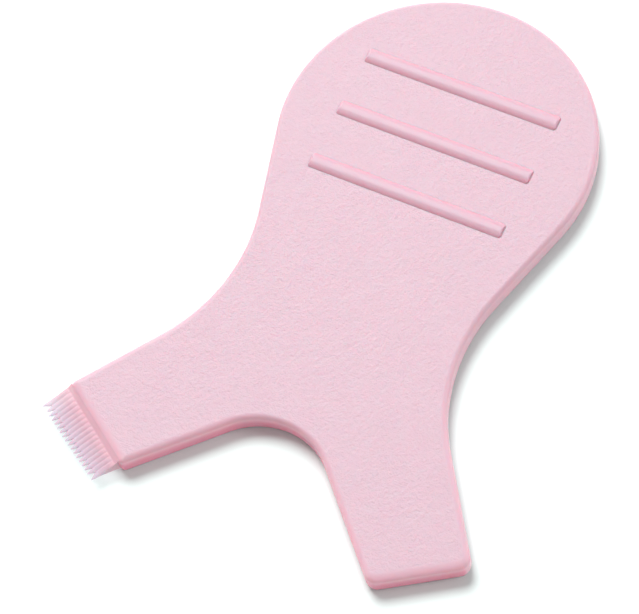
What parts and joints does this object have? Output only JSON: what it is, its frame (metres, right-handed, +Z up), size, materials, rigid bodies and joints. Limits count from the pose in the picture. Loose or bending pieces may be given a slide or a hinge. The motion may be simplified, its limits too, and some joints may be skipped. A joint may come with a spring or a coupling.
{
  "type": "eyelash and brow tint comb",
  "caption": "Flat Y-shaped hand tool with a round ribbed paddle grip, one plain blunt arm and one arm ending in a fine clear comb.",
  "frame": {"origin": "on the flat underside, directly below the centre of the round paddle", "axes": "+Z up through the face with the ribs, +Y from the arms to the paddle along the tool's length, +X to the plain arm's side; the comb arm is on -X"},
  "size_m": [0.0398, 0.0549, 0.0023],
  "materials": {
    "shell": "pale pink moulded plastic, fine spark-eroded grain, soft matte",
    "comb": "translucent pink plastic, smooth, paler towards the tooth tips",
    "rib": "pale pink plastic, smooth with a soft gloss"
  },
  "bodies": {
    "root": {"upper_shell": "shell", "lower_shell": "shell", "comb": "comb", "grip_rib_1": "rib", "grip_rib_2": "rib", "grip_rib_3": "rib"}
  },
  "joints": []
}
